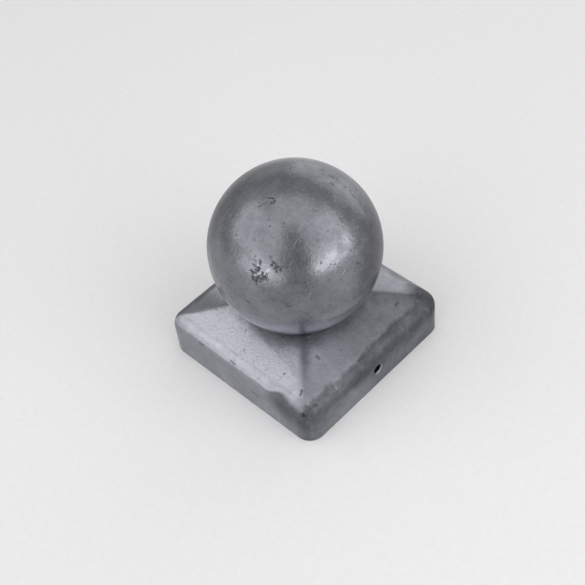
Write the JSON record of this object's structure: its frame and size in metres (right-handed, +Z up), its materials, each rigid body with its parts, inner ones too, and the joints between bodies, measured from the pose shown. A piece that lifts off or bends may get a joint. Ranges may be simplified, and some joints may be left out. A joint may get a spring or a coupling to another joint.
{
  "type": "post cap",
  "caption": "Square sheet-steel cap with a low four-sided top and a ball on it, made to slip over the top of a square fence post and be nailed through its sides.",
  "frame": {"origin": "centre of the rim's underside", "axes": "+Z up through the ball's centre, +X and +Y square to the sides; the nail holes are in the +X and -X sides"},
  "size_m": [0.094, 0.094, 0.103],
  "materials": {
    "cap_zinc": "hot-dip galvanised sheet, dull satin with fine scratches",
    "ball_zinc": "hot-dip galvanised ball, dull satin with scuffs"
  },
  "bodies": {
    "root": {"square_cap": "cap_zinc", "ball": "ball_zinc"}
  },
  "joints": []
}
